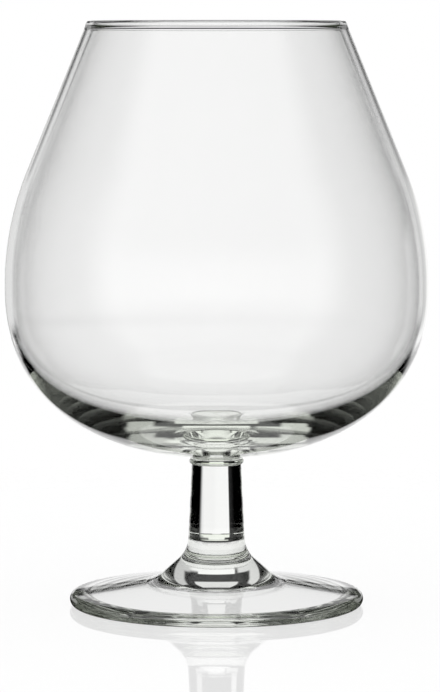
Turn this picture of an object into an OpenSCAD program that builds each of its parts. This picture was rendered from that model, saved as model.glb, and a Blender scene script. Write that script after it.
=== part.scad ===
// Brandy snifter in clear soda-lime glass: a thin blown bowl that draws in to a fire-polished rim,
// fused through a small weld bead to a short solid stem, which stands on a domed foot.
// Millimetres. The origin is the centre of the ring that the foot stands on, and +Z is up.

/* [Bowl] */
// Height of the bowl from the weld bead to the rim
bowl_h = 111.9; // [100:0.1:130]
// Outer diameter at the belly
bowl_d = 108.5; // [96:0.5:120]
// Outer diameter of the rim
rim_d = 66.7; // [56:0.1:76]
// Height of the belly, where the bowl is widest, above the bowl's underside
belly_h = 44.2; // [38:0.1:52]
// Radius of the shoulder's curve above the belly
shoulder_r = 79; // [62:0.5:90]
// Fullness of the lower bowl's outside: 2 is an ellipse, more is squarer
fullness = 2.25; // [2:0.05:2.6]
// Fullness of the lower bowl's inside: squarer than outside, so that the bowl's floor is flatter
inner_fullness = 2.45; // [2.1:0.05:2.6]
// Thickness of the blown wall
wall_t = 1.4; // [1:0.1:2]
// Thickness of the bowl's base at its centre
base_t = 5.9; // [4:0.1:8]
// Thickness of the fire-polished rim
rim_t = 1.7; // [1.4:0.1:2.6]
// Diameter of the neck under the bowl
neck_d = 12.2; // [10:0.1:13]
// Height of the neck, and the radius of the fillet between it and the bowl
neck_h = 0.6; // [0.4:0.1:1.2]

/* [Weld bead] */
// Height of the bead of glass that joins bowl and stem
bead_h = 1.6; // [1:0.1:2.4]
// Outer diameter of the bead
bead_d = 14; // [13.9:0.1:15.5]

/* [Stem] */
// Length of the stem
stem_l = 19; // [12:0.5:60]
// Diameter of the stem under the bead
stem_top_d = 12.7; // [11:0.1:13.8]
// Diameter of the stem where it runs into the foot
stem_d = 14.5; // [12.5:0.1:17]

/* [Foot] */
// Diameter of the foot
foot_d = 75.6; // [66:0.2:90]
// Height of the foot, to where the stem starts
foot_h = 17.5; // [15:0.5:24]
// Thickness of the foot's round edge
edge_t = 3.4; // [2.4:0.1:4]
// Diameter of the foot's knee, where the steep cone under the stem turns into the flat disc
knee_d = 31.8; // [24:0.2:36]
// Height of the knee
knee_h = 6.5; // [5.5:0.1:8]
// Height of the corner between the stem's side and the cone
collar_h = 14.1; // [11:0.1:14.2]
// Radius of the curve between the stem's side and the cone
collar_r = 8; // [4:0.5:8]
// Radius of the curve at the knee
knee_r = 10; // [4:0.5:14]
// Width of the flat ring that the foot stands on
ring_w = 3; // [1.5:0.1:5]
// Depth of the hollow under the foot
hollow_h = 3; // [1.5:0.1:4]
// Diameter of the hollow's flat top
hollow_top_d = 30; // [12:0.5:40]
// Radius of the curve between the hollow's slope and its flat top
hollow_curve_r = 20; // [8:1:40]

/* [Hidden] */

$fn = 96;

// Straight steps that each curve of an outline is drawn in
belly_steps = 20;
shoulder_steps = 8;
rim_steps = 12;
fillet_steps = 6;
edge_steps = 12;
hollow_steps = 10;

// Heights at which the pieces are fused, from the table up
stem_z = foot_h;
bead_z = stem_z + stem_l;
bowl_z = bead_z + bead_h;

function polar(centre, radius, angle) = centre + radius * [cos(angle), sin(angle)];

function arc(centre, radius, from, to, steps) =
    [for (i = [0:steps]) polar(centre, radius, from + (to - from) * i / steps)];

function direction(v) = atan2(v[1], v[0]);

// Arc of the given radius that rounds the corner at b, coming from a and leaving for c
function rounded_corner(a, b, c, radius, steps) =
    let (
        inward = direction(a - b),
        outward = direction(c - b),
        half = (outward - inward) / 2,
        centre = polar(b, radius / abs(sin(half)), inward + half),
        side = half > 0 ? 1 : -1
    )
    arc(centre, radius, inward - side * 90, outward + side * 90 - side * 360, steps);

// The lower bowl's outer and inner skins are two fuller-than-elliptical curves, farthest apart at the base
bowl_r = bowl_d / 2;
belly_depth = belly_h - neck_h;
inner_r = bowl_r - wall_t;
inner_depth = belly_h - base_t;

// Curve from the bowl's bottom out to the belly, starting at start_r from the axis
function belly_curve(radius, depth, start_r, full) =
    let (
        start = asin(pow(start_r / radius, full / 2)),
        power = 2 / full
    )
    [for (i = [0:belly_steps])
        let (turn = start + (90 - start) * i / belly_steps)
        [radius * pow(sin(turn), power), belly_h - depth * pow(max(0, cos(turn)), power)]];

// The shoulder's arc leaves the belly upright and ends where the straight wall to the rim touches it
shoulder_centre = [bowl_r - shoulder_r, belly_h];
rim_centre = [rim_d / 2 - rim_t / 2, bowl_h - rim_t / 2];
mid_wall_r = shoulder_r - wall_t / 2;
to_rim = rim_centre - shoulder_centre;
shoulder_end = direction(to_rim) - acos(mid_wall_r / norm(to_rim));

function shoulder_curve(radius) =
    arc(shoulder_centre, radius, 0, shoulder_end, shoulder_steps);

// The rim is a round bead on the wall's end, a little thicker than the wall
rim_bite = asin(wall_t / rim_t);

function rim_curve() =
    arc(rim_centre, rim_t / 2, shoulder_end - 90 + rim_bite, shoulder_end + 270 - rim_bite, rim_steps);

function reversed(points) = [for (i = [len(points) - 1:-1:0]) points[i]];

module bowl() {
    neck_r = neck_d / 2;
    neck_fillet = arc([neck_r + neck_h, 0], neck_h, 180, 90, fillet_steps);
    outer_start = neck_r + 3 * neck_h;
    outer = concat(belly_curve(bowl_r, belly_depth, outer_start, fullness), shoulder_curve(shoulder_r));
    inner = concat(belly_curve(inner_r, inner_depth, 0, inner_fullness), shoulder_curve(shoulder_r - wall_t));
    color([0.93, 0.96, 0.95, 0.35])
    translate([0, 0, bowl_z])
    rotate_extrude()
    polygon(concat([[0, 0]], neck_fillet, outer, rim_curve(), reversed(inner)));
}

module weld_bead() {
    side_r = bead_h / 2;
    side_centre = [bead_d / 2 - side_r, side_r];
    color([0.86, 0.91, 0.9, 0.45])
    translate([0, 0, bead_z])
    rotate_extrude()
    polygon(concat([[0, 0]], arc(side_centre, side_r, -90, 90, edge_steps), [[0, bead_h]]));
}

module stem() {
    color([0.9, 0.94, 0.93, 0.4])
    translate([0, 0, stem_z])
    cylinder(h = stem_l, d1 = stem_d, d2 = stem_top_d);
}

module foot() {
    top = [stem_d / 2, foot_h];
    collar = [stem_d / 2, collar_h];
    knee = [knee_d / 2, knee_h];
    edge_r = edge_t / 2;
    edge_centre = [foot_d / 2 - edge_r, edge_r];
    to_edge = edge_centre - knee;
    edge_start = direction(to_edge) + asin(edge_r / norm(to_edge)) + 90;
    edge_top = polar(edge_centre, edge_r, edge_start);
    hollow_rim = [edge_centre[0] - ring_w, 0];
    hollow_top = [hollow_top_d / 2, hollow_h];
    hollow_middle = [0, hollow_h];
    color([0.88, 0.93, 0.92, 0.4])
    rotate_extrude()
    polygon(concat(
        [[0, foot_h], top],
        rounded_corner(top, collar, knee, collar_r, fillet_steps),
        rounded_corner(collar, knee, edge_top, knee_r, fillet_steps),
        arc(edge_centre, edge_r, edge_start, -90, edge_steps),
        [hollow_rim],
        rounded_corner(hollow_rim, hollow_top, hollow_middle, hollow_curve_r, hollow_steps),
        [hollow_middle]
    ));
}

bowl();
weld_bead();
stem();
foot();
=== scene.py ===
# Brandy snifter in clear soda-lime glass: a thin blown bowl, fused by a small weld bead to a
# pressed stem and a domed foot. Every piece is an outline turned about the glass's own axis.
# Lengths are in metres, unless their name ends in Mm, and angles are in degrees.
import math

import bpy
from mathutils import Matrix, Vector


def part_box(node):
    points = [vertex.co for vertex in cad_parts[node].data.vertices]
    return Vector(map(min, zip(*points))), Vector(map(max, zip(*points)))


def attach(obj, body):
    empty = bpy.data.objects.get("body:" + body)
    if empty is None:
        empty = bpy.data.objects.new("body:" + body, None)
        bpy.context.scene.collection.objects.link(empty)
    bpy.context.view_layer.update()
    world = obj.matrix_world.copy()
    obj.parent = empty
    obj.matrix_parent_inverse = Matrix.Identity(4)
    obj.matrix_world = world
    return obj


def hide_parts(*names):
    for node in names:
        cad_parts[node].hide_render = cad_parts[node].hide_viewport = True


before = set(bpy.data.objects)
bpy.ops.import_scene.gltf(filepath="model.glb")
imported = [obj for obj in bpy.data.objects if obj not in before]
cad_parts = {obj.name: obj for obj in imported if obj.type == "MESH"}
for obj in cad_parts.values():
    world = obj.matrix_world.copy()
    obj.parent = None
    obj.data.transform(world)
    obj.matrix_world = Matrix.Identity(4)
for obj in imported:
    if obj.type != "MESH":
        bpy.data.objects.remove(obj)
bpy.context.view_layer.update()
print("frame loaded:", sorted(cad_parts))

mm = 0.001
body = "root"
turning = {
    "segments": 256,        # flats around the axis
    "pathMm": 10,           # radius of the circle that carries the outline
    "weldGapMm": 0.002,     # two fused faces stand this far apart, half of it on each piece
    "heightSlackMm": 0.001, # a face this close to a weld's height is a fused one
    "mergeMm": 0.001,       # points closer than this become one, which closes the poles
    "creaseAngle": 40,      # edges sharper than this stay crisp
    "longestStepMm": 1.2,   # straight runs of an outline are split into steps no longer than this
}
faceGap = turning["weldGapMm"] * mm / 2
noWeld = -1                 # a height at which no face lies


# Points of an outline: (distance from the axis, height)

def polar(centre, radius, angle):
    turn = math.radians(angle)
    return (centre[0] + radius * math.cos(turn), centre[1] + radius * math.sin(turn))


def arc(centre, radius, start, end, steps):
    return [polar(centre, radius, start + (end - start) * i / steps) for i in range(steps + 1)]


def heading(a, b):
    return math.degrees(math.atan2(b[1] - a[1], b[0] - a[0]))


def distance(a, b):
    return math.hypot(b[0] - a[0], b[1] - a[1])


def roundedCorner(before, corner, after, radius, steps):
    inward = heading(corner, before)
    half = (heading(corner, after) - inward) / 2
    side = math.copysign(1, half)
    centre = polar(corner, radius / abs(math.sin(math.radians(half))), inward + half)
    return arc(centre, radius, inward - side * 90, inward + 2 * half - side * 270, steps)


def splitRuns(points, longest):
    # short steps keep the smooth shading true on the straight runs beside a curve
    split = [points[0]]
    for a, b in zip(points, points[1:]):
        parts = max(1, math.ceil(distance(a, b) / longest))
        for i in range(1, parts + 1):
            split.append((a[0] + (b[0] - a[0]) * i / parts, a[1] + (b[1] - a[1]) * i / parts))
    return split


def addNode(tree, kind, settings=None, inputs=None):
    # inputs: socket name or number -> another node's output, or a plain value
    node = tree.nodes.new(kind)
    for name, value in (settings or {}).items():
        setattr(node, name, value)
    for name, value in (inputs or {}).items():
        if isinstance(value, bpy.types.NodeSocket):
            tree.links.new(value, node.inputs[name])
        else:
            node.inputs[name].default_value = value
    return node


def linearColour(hexColour):
    shares = [int(hexColour[i:i + 2], 16) / 255 for i in (1, 3, 5)]
    return [c / 12.92 if c <= 0.04045 else ((c + 0.055) / 1.055) ** 2.4 for c in shares] + [1]


white = linearColour("#ffffff")


# The turning tree sweeps an outline once around the axis, closes the poles,
# and gives the faces at the two weld heights the fused, unseen finish.

def makeTurningTree():
    tree = bpy.data.node_groups.new("turned glass", "GeometryNodeTree")
    sockets = {
        "Outline": "NodeSocketGeometry",
        "Segments": "NodeSocketInt",
        "Path radius": "NodeSocketFloat",
        "Crease angle": "NodeSocketFloat",
        "Lower weld": "NodeSocketFloat",
        "Upper weld": "NodeSocketFloat",
        "Glass": "NodeSocketMaterial",
        "Fused glass": "NodeSocketMaterial",
    }
    for name, kind in sockets.items():
        tree.interface.new_socket(name=name, in_out="INPUT", socket_type=kind)
    tree.interface.new_socket(name="Piece", in_out="OUTPUT", socket_type="NodeSocketGeometry")
    given = addNode(tree, "NodeGroupInput").outputs
    outline = addNode(tree, "GeometryNodeMeshToCurve", inputs={"Mesh": given["Outline"]})
    path = addNode(tree, "GeometryNodeCurvePrimitiveCircle",
                   inputs={"Resolution": given["Segments"], "Radius": given["Path radius"]})
    swept = addNode(tree, "GeometryNodeCurveToMesh",
                    inputs={"Curve": path.outputs[0], "Profile Curve": outline.outputs[0]})
    closed = addNode(tree, "GeometryNodeMergeByDistance",
                     inputs={"Geometry": swept.outputs[0], "Distance": turning["mergeMm"] * mm})
    smooth = addNode(tree, "GeometryNodeSetShadeSmooth", inputs={"Geometry": closed.outputs[0]})
    angle = addNode(tree, "GeometryNodeInputMeshEdgeAngle")
    sharp = addNode(tree, "ShaderNodeMath", {"operation": "GREATER_THAN"},
                    {0: angle.outputs[0], 1: given["Crease angle"]})
    creased = addNode(tree, "GeometryNodeSetShadeSmooth", {"domain": "EDGE"},
                      {"Geometry": smooth.outputs[0], "Selection": sharp.outputs[0],
                       "Shade Smooth": False})
    place = addNode(tree, "GeometryNodeInputPosition")
    height = addNode(tree, "ShaderNodeSeparateXYZ", inputs={0: place.outputs[0]}).outputs["Z"]
    atWeld = []
    for name in ("Lower weld", "Upper weld"):
        level = addNode(tree, "ShaderNodeMath", {"operation": "COMPARE"},
                        {0: height, 1: given[name], 2: turning["heightSlackMm"] * mm})
        atWeld.append(level.outputs[0])
    fused = addNode(tree, "ShaderNodeMath", {"operation": "MAXIMUM"}, {0: atWeld[0], 1: atWeld[1]})
    real = addNode(tree, "GeometryNodeRealizeInstances", inputs={0: creased.outputs[0]})
    glassed = addNode(tree, "GeometryNodeSetMaterial",
                      inputs={"Geometry": real.outputs[0], "Material": given["Glass"]})
    finished = addNode(tree, "GeometryNodeSetMaterial",
                       inputs={"Geometry": glassed.outputs[0], "Selection": fused.outputs[0],
                               "Material": given["Fused glass"]})
    addNode(tree, "NodeGroupOutput", inputs={"Piece": finished.outputs[0]})
    return tree


def turnPiece(name, node, points, welds, glass):
    # points run from the axis at the top, along the outside, to the axis at the bottom
    # the outline is drawn as the sweep needs it: x outwards from the path, and y downwards
    path = turning["pathMm"] * mm
    points = splitRuns(points, turning["longestStepMm"] * mm)
    mesh = bpy.data.meshes.new(name + " outline")
    mesh.from_pydata([(r - path, -z, 0) for r, z in points],
                     [(i, i + 1) for i in range(len(points) - 1)], [])
    outline = bpy.data.objects.new(name + " outline", mesh)
    bpy.context.scene.collection.objects.link(outline)
    modifier = outline.modifiers.new("turn", "NODES")
    modifier.node_group = turningTree
    values = {
        "Segments": turning["segments"],
        "Path radius": path,
        "Crease angle": math.radians(turning["creaseAngle"]),
        "Lower weld": welds[0],
        "Upper weld": welds[1],
        "Glass": glass,
        "Fused glass": fusedGlass,
    }
    for item in turningTree.interface.items_tree:
        if item.name in values:
            modifier[item.identifier] = values[item.name]
    depsgraph = bpy.context.evaluated_depsgraph_get()
    turned = bpy.data.meshes.new_from_object(outline.evaluated_get(depsgraph))
    bpy.data.objects.remove(outline)
    bpy.data.meshes.remove(mesh)
    turned.name = name
    piece = bpy.data.objects.new(name, turned)
    bpy.context.scene.collection.objects.link(piece)
    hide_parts(node)
    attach(piece, body)
    print(name, "turned:", len(turned.vertices), "points,", len(turned.polygons), "faces")


# Blown or pressed soda-lime glass: colourless, with a trace of green where the eye looks through
# a lot of it, and a skin that the flame has smoothed, so its highlights swim very slightly.

glassLook = {
    "colour": "#ffffff",
    "ior": 1.52,
    "tint": "#d9edbc",
    "tintDensity": 3.0,             # how fast the tint builds up, per metre of glass
    "blownRippleMm": 30,            # width of the blown bowl's ripples, and how deep they are
    "blownRippleDepthMm": 0.004,
    "pressedRippleMm": 12,          # the same on the pressed stem and foot
    "pressedRippleDepthMm": 0.002,
}


def makeGlass(name, rippleMm, rippleDepthMm):
    glass = bpy.data.materials.new(name)
    glass.use_nodes = True
    tree = glass.node_tree
    tree.nodes.clear()
    place = addNode(tree, "ShaderNodeTexCoord")
    ripple = addNode(tree, "ShaderNodeTexNoise",
                     inputs={"Vector": place.outputs["Object"], "Scale": 1 / (rippleMm * mm),
                             "Detail": 1.0})
    bump = addNode(tree, "ShaderNodeBump",
                   inputs={"Height": ripple.outputs["Fac"], "Distance": rippleDepthMm * mm,
                           "Strength": 1.0})
    surface = addNode(tree, "ShaderNodeBsdfPrincipled",
                      inputs={"Base Color": linearColour(glassLook["colour"]), "Roughness": 0.0,
                              "IOR": glassLook["ior"], "Transmission Weight": 1.0,
                              "Normal": bump.outputs[0]})
    inside = addNode(tree, "ShaderNodeVolumeAbsorption",
                     inputs={"Color": linearColour(glassLook["tint"]),
                             "Density": glassLook["tintDensity"]})
    addNode(tree, "ShaderNodeOutputMaterial",
            inputs={"Surface": surface.outputs[0], "Volume": inside.outputs[0]})
    return glass


def makeFusedGlass():
    # Where two gathers of glass are fused there is no surface left, so light goes straight on
    glass = bpy.data.materials.new("fused glass")
    glass.use_nodes = True
    tree = glass.node_tree
    tree.nodes.clear()
    surface = addNode(tree, "ShaderNodeBsdfTransparent", inputs={"Color": white})
    addNode(tree, "ShaderNodeOutputMaterial", inputs={"Surface": surface.outputs[0]})
    return glass


turningTree = makeTurningTree()
blownGlass = makeGlass("blown soda-lime glass",
                       glassLook["blownRippleMm"], glassLook["blownRippleDepthMm"])
pressedGlass = makeGlass("pressed soda-lime glass",
                         glassLook["pressedRippleMm"], glassLook["pressedRippleDepthMm"])
fusedGlass = makeFusedGlass()
print("materials made")

bowl = {
    "rimWidthMm": 66.7,
    "bellyHeightMm": 44.2,  # where the bowl is widest, above its underside
    "shoulderMm": 79,       # radius of the curve above the belly
    "fullness": 2.25,       # of the lower bowl outside: 2 is an ellipse, and more is squarer
    "innerFullness": 2.45,  # and inside
    "wallMm": 1.4,
    "baseMm": 5.9,          # thickness in the middle of the base
    "rimMm": 1.7,           # thickness of the round rim
    "neckWidthMm": 12.2,
    "neckHeightMm": 0.6,    # also the radius of the fillet there
    "flare": 3,             # the belly's curve starts this many neck heights outside the neck
    "bellySteps": 60,
    "shoulderSteps": 36,
    "rimSteps": 16,
    "neckSteps": 8,
}


def bellyCurve(radius, depth, startRadius, fullness):
    # from the bottom out to the belly, fuller than an ellipse; heights count from the belly
    power = 2 / fullness
    start = math.asin((startRadius / radius) ** (fullness / 2))
    points = []
    for i in range(bowl["bellySteps"] + 1):
        turn = start + (math.pi / 2 - start) * i / bowl["bellySteps"]
        points.append((radius * math.sin(turn) ** power, -depth * max(0, math.cos(turn)) ** power))
    return points


def makeBowl():
    low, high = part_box("bowl")
    bottom = low.z + faceGap
    belly = low.z + bowl["bellyHeightMm"] * mm
    radius = high.x
    wall = bowl["wallMm"] * mm
    rim = bowl["rimMm"] * mm
    neckHeight = bowl["neckHeightMm"] * mm
    neck = bowl["neckWidthMm"] * mm / 2
    base = bowl["baseMm"] * mm
    shoulder = bowl["shoulderMm"] * mm
    shoulderCentre = (radius - shoulder, belly)
    rimCentre = (bowl["rimWidthMm"] * mm / 2 - rim / 2, high.z - rim / 2)
    midWall = shoulder - wall / 2
    end = heading(shoulderCentre, rimCentre) - math.degrees(
        math.acos(midWall / distance(shoulderCentre, rimCentre)))
    bite = math.degrees(math.asin(wall / rim))
    outerDepth = belly - low.z - neckHeight
    innerDepth = belly - low.z - base
    steps = bowl["shoulderSteps"]
    innerCurve = bellyCurve(radius - wall, innerDepth, 0, bowl["innerFullness"])
    inner = [(r, belly + z) for r, z in innerCurve]
    inner += arc(shoulderCentre, shoulder - wall, 0, end, steps)[1:]
    rimCurve = arc(rimCentre, rim / 2, end + 270 - bite, end - 90 + bite, bowl["rimSteps"])
    outerStart = neck + bowl["flare"] * neckHeight
    outerCurve = bellyCurve(radius, outerDepth, outerStart, bowl["fullness"])
    outer = [(r, belly + z) for r, z in outerCurve]
    outer += arc(shoulderCentre, shoulder, 0, end, steps)[1:]
    neckCurve = arc((neck + neckHeight, bottom), neckHeight, 180, 90, bowl["neckSteps"])
    points = inner + rimCurve + outer[::-1] + neckCurve[::-1] + [(0, bottom)]
    turnPiece("glass_bowl", "bowl", points, (bottom, noWeld), blownGlass)


weldBead = {"steps": 20}    # flats on its round side


def makeWeldBead():
    low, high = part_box("weld_bead")
    bottom = low.z + faceGap
    top = high.z - faceGap
    side = (top - bottom) / 2
    sideCurve = arc((high.x - side, (top + bottom) / 2), side, 90, -90, weldBead["steps"])
    points = [(0, top)] + sideCurve + [(0, bottom)]
    turnPiece("weld_bead_ring", "weld_bead", points, (bottom, top), pressedGlass)


stem = {"topWidthMm": 12.7, "widthMm": 14.5}    # the second is where it runs into the foot


def makeStem():
    low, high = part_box("stem")
    bottom = low.z + faceGap
    top = high.z - faceGap
    topRadius = stem["topWidthMm"] * mm / 2
    radius = stem["widthMm"] * mm / 2
    points = [(0, top), (topRadius, top), (radius, bottom), (0, bottom)]
    turnPiece("solid_stem", "stem", points, (bottom, top), pressedGlass)


foot = {
    "kneeWidthMm": 31.8,    # the knee is where the cone turns into the flat disc
    "kneeHeightMm": 6.5,
    "collarHeightMm": 14.1, # the collar is where the stem's side turns into the cone
    "collarMm": 8,          # radius of the curve at the collar
    "kneeMm": 10,           # and at the knee
    "edgeMm": 3.4,          # thickness of the round edge
    "ringMm": 3,            # width of the flat ring that the foot stands on
    "hollowMm": 3,          # depth of the hollow underneath
    "hollowTopMm": 30,      # width of its flat top
    "hollowCurveMm": 20,    # radius of the curve around that
    "curveSteps": 24,
    "edgeSteps": 24,
    "hollowSteps": 24,
}


def makeFoot():
    low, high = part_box("foot")
    topHeight = high.z - faceGap
    top = (stem["widthMm"] * mm / 2, topHeight)
    collar = (top[0], low.z + foot["collarHeightMm"] * mm)
    knee = (foot["kneeWidthMm"] * mm / 2, low.z + foot["kneeHeightMm"] * mm)
    edge = foot["edgeMm"] * mm / 2
    edgeCentre = (high.x - edge, low.z + edge)
    lift = math.degrees(math.asin(edge / distance(knee, edgeCentre)))
    edgeStart = heading(knee, edgeCentre) + lift + 90
    edgeTop = polar(edgeCentre, edge, edgeStart)
    hollow = foot["hollowMm"] * mm
    hollowRim = edgeCentre[0] - foot["ringMm"] * mm
    hollowTop = (foot["hollowTopMm"] * mm / 2, low.z + hollow)
    points = [(0, topHeight), top]
    points += roundedCorner(top, collar, knee, foot["collarMm"] * mm, foot["curveSteps"])
    points += roundedCorner(collar, knee, edgeTop, foot["kneeMm"] * mm, foot["curveSteps"])
    points += arc(edgeCentre, edge, edgeStart, -90, foot["edgeSteps"])
    points += [(hollowRim, low.z)]
    points += roundedCorner((hollowRim, low.z), hollowTop, (0, low.z + hollow),
                            foot["hollowCurveMm"] * mm, foot["hollowSteps"])
    points += [(0, low.z + hollow)]
    turnPiece("domed_foot", "foot", points, (noWeld, topHeight), pressedGlass)


makeBowl()
makeWeldBead()
makeStem()
makeFoot()
print("glass made")


# The studio is a dark room in which white sheets hang around the glass. Each card is a patch of
# azimuth, where 0 is straight behind the glass and to the right is positive, and of elevation, in
# degrees. A later card hangs in front of the earlier ones. Only light that has gone through the
# glass or off its skin comes from them: to the camera and to the floor the surroundings are plain
# white. The clear views are white ground that shows through the glass when it is looked at from
# other sides, but never as a reflection.

firstBounce = 0.5       # a ray whose count of bounces is below this has had none
roomLevel = 0.0         # how bright it is between the cards
clearViews = [
    {"name": "round the back", "azimuth": 180, "halfWidth": 98, "low": -33, "high": 6,
     "soft": 6, "level": 1.0},
    {"name": "from above", "azimuth": -46, "halfWidth": 7, "low": -32, "high": -18,
     "soft": 3, "level": 1.0},
]
cards = [
    {"name": "front glow", "azimuth": 180, "halfWidth": 70, "low": -5, "high": 60,
     "soft": 30, "level": 0.95},
    {"name": "ceiling", "azimuth": 0, "halfWidth": 181, "low": 62, "high": 95,
     "soft": 8, "level": 0.7},
    {"name": "rear top", "azimuth": 0, "halfWidth": 15, "low": 12.2, "high": 36,
     "soft": 1.5, "level": 0.76},
    {"name": "upper left wing", "azimuth": -30, "halfWidth": 6, "low": -8.8, "high": 13,
     "soft": 3, "level": 0.75},
    {"name": "upper right wing", "azimuth": 29, "halfWidth": 6, "low": -4, "high": 17,
     "soft": 3, "level": 0.6},
    {"name": "left wing", "azimuth": -26, "halfWidth": 12, "low": -8.8, "high": 5,
     "soft": 3, "level": 0.75},
    {"name": "backdrop", "azimuth": 0, "halfWidth": 12, "low": -5, "high": 6.3,
     "soft": 1.5, "level": 1.0},
    {"name": "stem sheet", "azimuth": 0, "halfWidth": 20, "low": -14.2, "high": -8.8,
     "soft": 1.5, "level": 1.0},
    {"name": "lower backdrop", "azimuth": 0, "halfWidth": 12, "low": -42, "high": -4,
     "soft": 3, "level": 1.0},
    {"name": "grey sheet", "azimuth": 14, "halfWidth": 12, "low": -14, "high": 2,
     "soft": 8, "level": 0.96},
    {"name": "right wing", "azimuth": 27, "halfWidth": 9, "low": -8, "high": 5,
     "soft": 5, "level": 0.6},
]


def makeCardGroup():
    tree = bpy.data.node_groups.new("card", "ShaderNodeTree")
    names = ("Azimuth", "Elevation", "Light behind",
             "Centre", "Half width", "Low", "High", "Soft", "Level")
    for name in names:
        tree.interface.new_socket(name=name, in_out="INPUT", socket_type="NodeSocketFloat")
    tree.interface.new_socket(name="Light", in_out="OUTPUT", socket_type="NodeSocketFloat")
    given = addNode(tree, "NodeGroupInput").outputs
    aside = addNode(tree, "ShaderNodeMath", {"operation": "SUBTRACT"},
                    {0: given["Azimuth"], 1: given["Centre"]})
    turned = addNode(tree, "ShaderNodeMath", {"operation": "WRAP"},
                     {0: aside.outputs[0], 1: 180, 2: -180})
    away = addNode(tree, "ShaderNodeMath", {"operation": "ABSOLUTE"}, {0: turned.outputs[0]})
    halfway = 0.5       # an edge's softening lies half inside the card and half outside
    cover = None
    edges = (
        (given["Half width"], away.outputs[0]),
        (given["High"], given["Elevation"]),
        (given["Elevation"], given["Low"]),
    )
    for inner, outer in edges:
        depth = addNode(tree, "ShaderNodeMath", {"operation": "SUBTRACT"}, {0: inner, 1: outer})
        share = addNode(tree, "ShaderNodeMath", {"operation": "DIVIDE"},
                        {0: depth.outputs[0], 1: given["Soft"]})
        inside = addNode(tree, "ShaderNodeMapRange", {"interpolation_type": "SMOOTHSTEP"},
                         {"Value": share.outputs[0], "From Min": -halfway, "From Max": halfway})
        if cover is None:
            cover = inside.outputs[0]
        else:
            cover = addNode(tree, "ShaderNodeMath", {"operation": "MULTIPLY"},
                            {0: cover, 1: inside.outputs[0]}).outputs[0]
    light = addNode(tree, "ShaderNodeMix",
                    inputs={0: cover, 2: given["Light behind"], 3: given["Level"]})
    addNode(tree, "NodeGroupOutput", inputs={"Light": light.outputs[0]})
    return tree


def hangCards(tree, cardGroup, azimuth, elevation, hung, light):
    for card in hung:
        light = addNode(tree, "ShaderNodeGroup", {"node_tree": cardGroup, "label": card["name"]},
                        {"Azimuth": azimuth, "Elevation": elevation, "Light behind": light,
                         "Centre": card["azimuth"], "Half width": card["halfWidth"],
                         "Low": card["low"], "High": card["high"],
                         "Soft": card["soft"], "Level": card["level"]}).outputs[0]
    return light


def makeWorld():
    world = bpy.data.worlds.new("studio")
    bpy.context.scene.world = world
    world.use_nodes = True
    tree = world.node_tree
    tree.nodes.clear()
    cardGroup = makeCardGroup()
    place = addNode(tree, "ShaderNodeTexCoord")
    towards = addNode(tree, "ShaderNodeSeparateXYZ", inputs={0: place.outputs["Generated"]}).outputs
    around = addNode(tree, "ShaderNodeMath", {"operation": "ARCTAN2"},
                     {0: towards[0], 1: towards[1]})
    above = addNode(tree, "ShaderNodeMath", {"operation": "ARCSINE"}, {0: towards[2]})
    azimuth = addNode(tree, "ShaderNodeMath", {"operation": "DEGREES"},
                      {0: around.outputs[0]}).outputs[0]
    elevation = addNode(tree, "ShaderNodeMath", {"operation": "DEGREES"},
                        {0: above.outputs[0]}).outputs[0]
    ray = addNode(tree, "ShaderNodeLightPath").outputs
    unmirrored = addNode(tree, "ShaderNodeMath", {"operation": "LESS_THAN"},
                         {0: ray["Glossy Depth"], 1: firstBounce})
    light = hangCards(tree, cardGroup, azimuth, elevation, clearViews, roomLevel)
    light = addNode(tree, "ShaderNodeMath", {"operation": "MULTIPLY"},
                    {0: unmirrored.outputs[0], 1: light}).outputs[0]
    light = hangCards(tree, cardGroup, azimuth, elevation, cards, light)
    unscattered = addNode(tree, "ShaderNodeMath", {"operation": "LESS_THAN"},
                          {0: ray["Diffuse Depth"], 1: firstBounce})
    byGlass = addNode(tree, "ShaderNodeMath", {"operation": "MULTIPLY"},
                      {0: ray["Is Singular Ray"], 1: unscattered.outputs[0]})
    seen = addNode(tree, "ShaderNodeMix", inputs={0: byGlass.outputs[0], 2: 1.0, 3: light})
    backdrop = addNode(tree, "ShaderNodeBackground",
                       inputs={"Color": seen.outputs[0], "Strength": 1.0})
    addNode(tree, "ShaderNodeOutputWorld", inputs={"Surface": backdrop.outputs[0]})


# The floor is matt white under a thin gloss, which mirrors the glass faintly. It thins out to
# nothing before its edge, where the white surroundings take over. Seen through the glass it reaches
# less far, and there it glows: painted light under the foot's hollow, and a painted shadow under
# the ring that the glass stands on.

floor = {
    "radius": 0.3,
    "corners": 96,
    "depth": 0.00005,               # how far below the glass it lies
    "mirrorShare": 0.24,            # how much of it is gloss
    "mirrorRoughness": 0.02,
    "glowShare": 0.86,              # keeps the matt part white where the glass shades it
    "fade": (0.22, 0.29),           # it thins out between these distances from the middle
    "glassFade": (0.058, 0.064),    # the same, seen through the glass
    "paintedShadowEdge": (0.033, 0.036), # where the painted light under the foot's hollow turns to painted shadow
    "paintedLightLevel": 0.9,             # how bright the painted light under the hollow is, seen through the glass
    "paintedShadowLevel": 0.0,             # and the painted shadow around that
}


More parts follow.
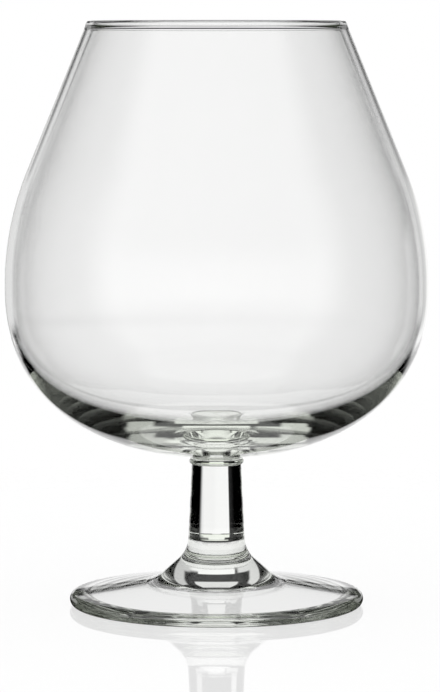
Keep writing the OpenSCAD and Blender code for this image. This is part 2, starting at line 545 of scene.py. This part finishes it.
def makeFloor():
    mesh = bpy.data.meshes.new("floor")
    corners = range(floor["corners"])
    edge = [polar((0, 0), floor["radius"], 360 * i / floor["corners"]) for i in corners]
    mesh.from_pydata([(x, y, 0) for x, y in edge], [], [list(corners)])
    sheet = bpy.data.objects.new("floor", mesh)
    sheet.location.z = -floor["depth"]
    bpy.context.scene.collection.objects.link(sheet)
    surface = bpy.data.materials.new("white table")
    surface.use_nodes = True
    tree = surface.node_tree
    tree.nodes.clear()
    place = addNode(tree, "ShaderNodeTexCoord")
    radius = addNode(tree, "ShaderNodeVectorMath", {"operation": "LENGTH"},
                     {0: place.outputs["Object"]}).outputs["Value"]
    shares = []
    for start, end in (floor["fade"], floor["glassFade"], floor["paintedShadowEdge"]):
        share = addNode(tree, "ShaderNodeMapRange", {"interpolation_type": "SMOOTHSTEP"},
                        {"Value": radius, "From Min": start, "From Max": end})
        shares.append(share.outputs[0])
    clear = addNode(tree, "ShaderNodeBsdfTransparent").outputs[0]
    matt = addNode(tree, "ShaderNodeBsdfDiffuse", inputs={"Color": white})
    gloss = addNode(tree, "ShaderNodeBsdfAnisotropic",
                    inputs={"Color": white, "Roughness": floor["mirrorRoughness"]})
    glow = addNode(tree, "ShaderNodeEmission", inputs={"Color": white, "Strength": 1.0})
    lit = addNode(tree, "ShaderNodeMixShader",
                  inputs={0: floor["glowShare"], 1: matt.outputs[0], 2: glow.outputs[0]})
    table = addNode(tree, "ShaderNodeMixShader",
                    inputs={0: floor["mirrorShare"], 1: lit.outputs[0], 2: gloss.outputs[0]})
    faded = addNode(tree, "ShaderNodeMixShader",
                    inputs={0: shares[0], 1: table.outputs[0], 2: clear})
    # seen through the glass the floor glows with painted light under the hollow and a painted
    # shadow around it
    tone = addNode(tree, "ShaderNodeMix",
                   inputs={0: shares[2], 2: floor["paintedLightLevel"], 3: floor["paintedShadowLevel"]})
    paintedShade = addNode(tree, "ShaderNodeEmission",
                     inputs={"Color": tone.outputs[0], "Strength": 1.0})
    glassFaded = addNode(tree, "ShaderNodeMixShader",
                         inputs={0: shares[1], 1: paintedShade.outputs[0], 2: clear})
    ray = addNode(tree, "ShaderNodeLightPath").outputs
    shown = addNode(tree, "ShaderNodeMixShader",
                    inputs={0: ray["Is Singular Ray"],
                            1: faded.outputs[0], 2: glassFaded.outputs[0]})
    addNode(tree, "ShaderNodeOutputMaterial", inputs={"Surface": shown.outputs[0]})
    mesh.materials.append(surface)


# The camera stands in front of the glass, a little higher than the rim, and looks slightly down

camera = {
    "distance": 0.9364,     # from the glass's axis
    "height": 0.1551,
    "side": 0.0009,
    "pitch": 5.382,         # how far it looks down
    "lensMm": 190.76,
    "sensorMm": 36,
}


def makeCamera():
    data = bpy.data.cameras.new("camera")
    data.lens = camera["lensMm"]
    data.sensor_width = camera["sensorMm"]
    holder = bpy.data.objects.new("camera", data)
    holder.location = (camera["side"], -camera["distance"], camera["height"])
    holder.rotation_euler = (math.radians(90 - camera["pitch"]), 0, 0)
    bpy.context.scene.collection.objects.link(holder)
    bpy.context.scene.camera = holder


lightBounces = 32       # light turns many times inside solid glass before it gets out


makeWorld()
makeFloor()
makeCamera()
bpy.context.scene.view_settings.view_transform = "Standard"
for kind in ("max_bounces", "transmission_bounces", "glossy_bounces", "transparent_max_bounces"):
    setattr(bpy.context.scene.cycles, kind, lightBounces)
print("studio made")
